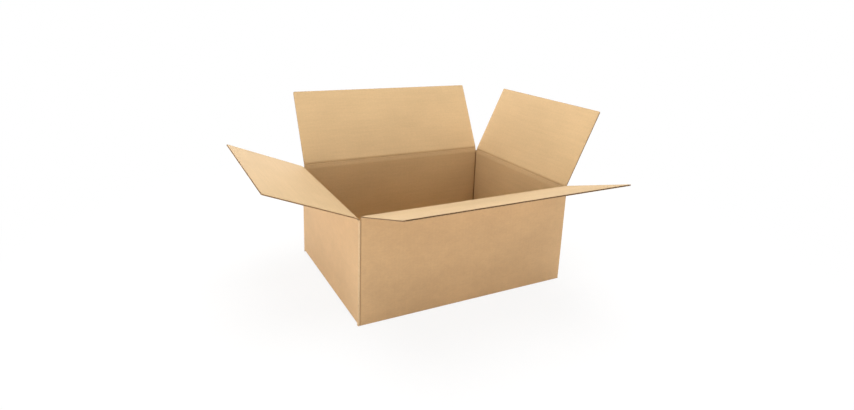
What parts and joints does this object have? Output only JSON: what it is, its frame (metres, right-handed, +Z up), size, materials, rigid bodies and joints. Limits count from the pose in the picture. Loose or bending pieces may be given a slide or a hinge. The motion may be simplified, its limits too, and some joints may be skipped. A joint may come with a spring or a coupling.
{
  "type": "open cardboard box",
  "caption": "Plain slotted shipping box of single-wall corrugated board, open at the top, with hinged flaps on every side and a closed bottom.",
  "frame": {"origin": "middle of the base, on the surface that the box stands on", "axes": "+X along the long walls towards the right wall, +Y from the front wall to the back wall, +Z up"},
  "size_m": [0.6021, 0.5127, 0.3137],
  "materials": {
    "kraft_board": "uncoated brown kraft liner"
  },
  "bodies": {
    "carton": {"box_body": "kraft_board"},
    "front_lid": {"front_flap": "kraft_board"},
    "back_lid": {"back_flap": "kraft_board"},
    "left_lid": {"left_flap": "kraft_board"},
    "right_lid": {"right_flap": "kraft_board"}
  },
  "joints": [
    {"name": "front_crease", "type": "hinge", "parent": "carton", "child": "front_lid", "pos_m": [0, -0.15, 0.18], "axis": [-1, 0, 0], "range_deg": [-98, 162]},
    {"name": "back_crease", "type": "hinge", "parent": "carton", "child": "back_lid", "pos_m": [0, 0.15, 0.18], "axis": [1, 0, 0], "range_deg": [-142, 118]},
    {"name": "left_crease", "type": "hinge", "parent": "carton", "child": "left_lid", "pos_m": [-0.2, 0, 0.1767], "axis": [0, 1, 0], "range_deg": [-102, 158]},
    {"name": "right_crease", "type": "hinge", "parent": "carton", "child": "right_lid", "pos_m": [0.2, 0, 0.1767], "axis": [0, -1, 0], "range_deg": [-145, 115]}
  ]
}
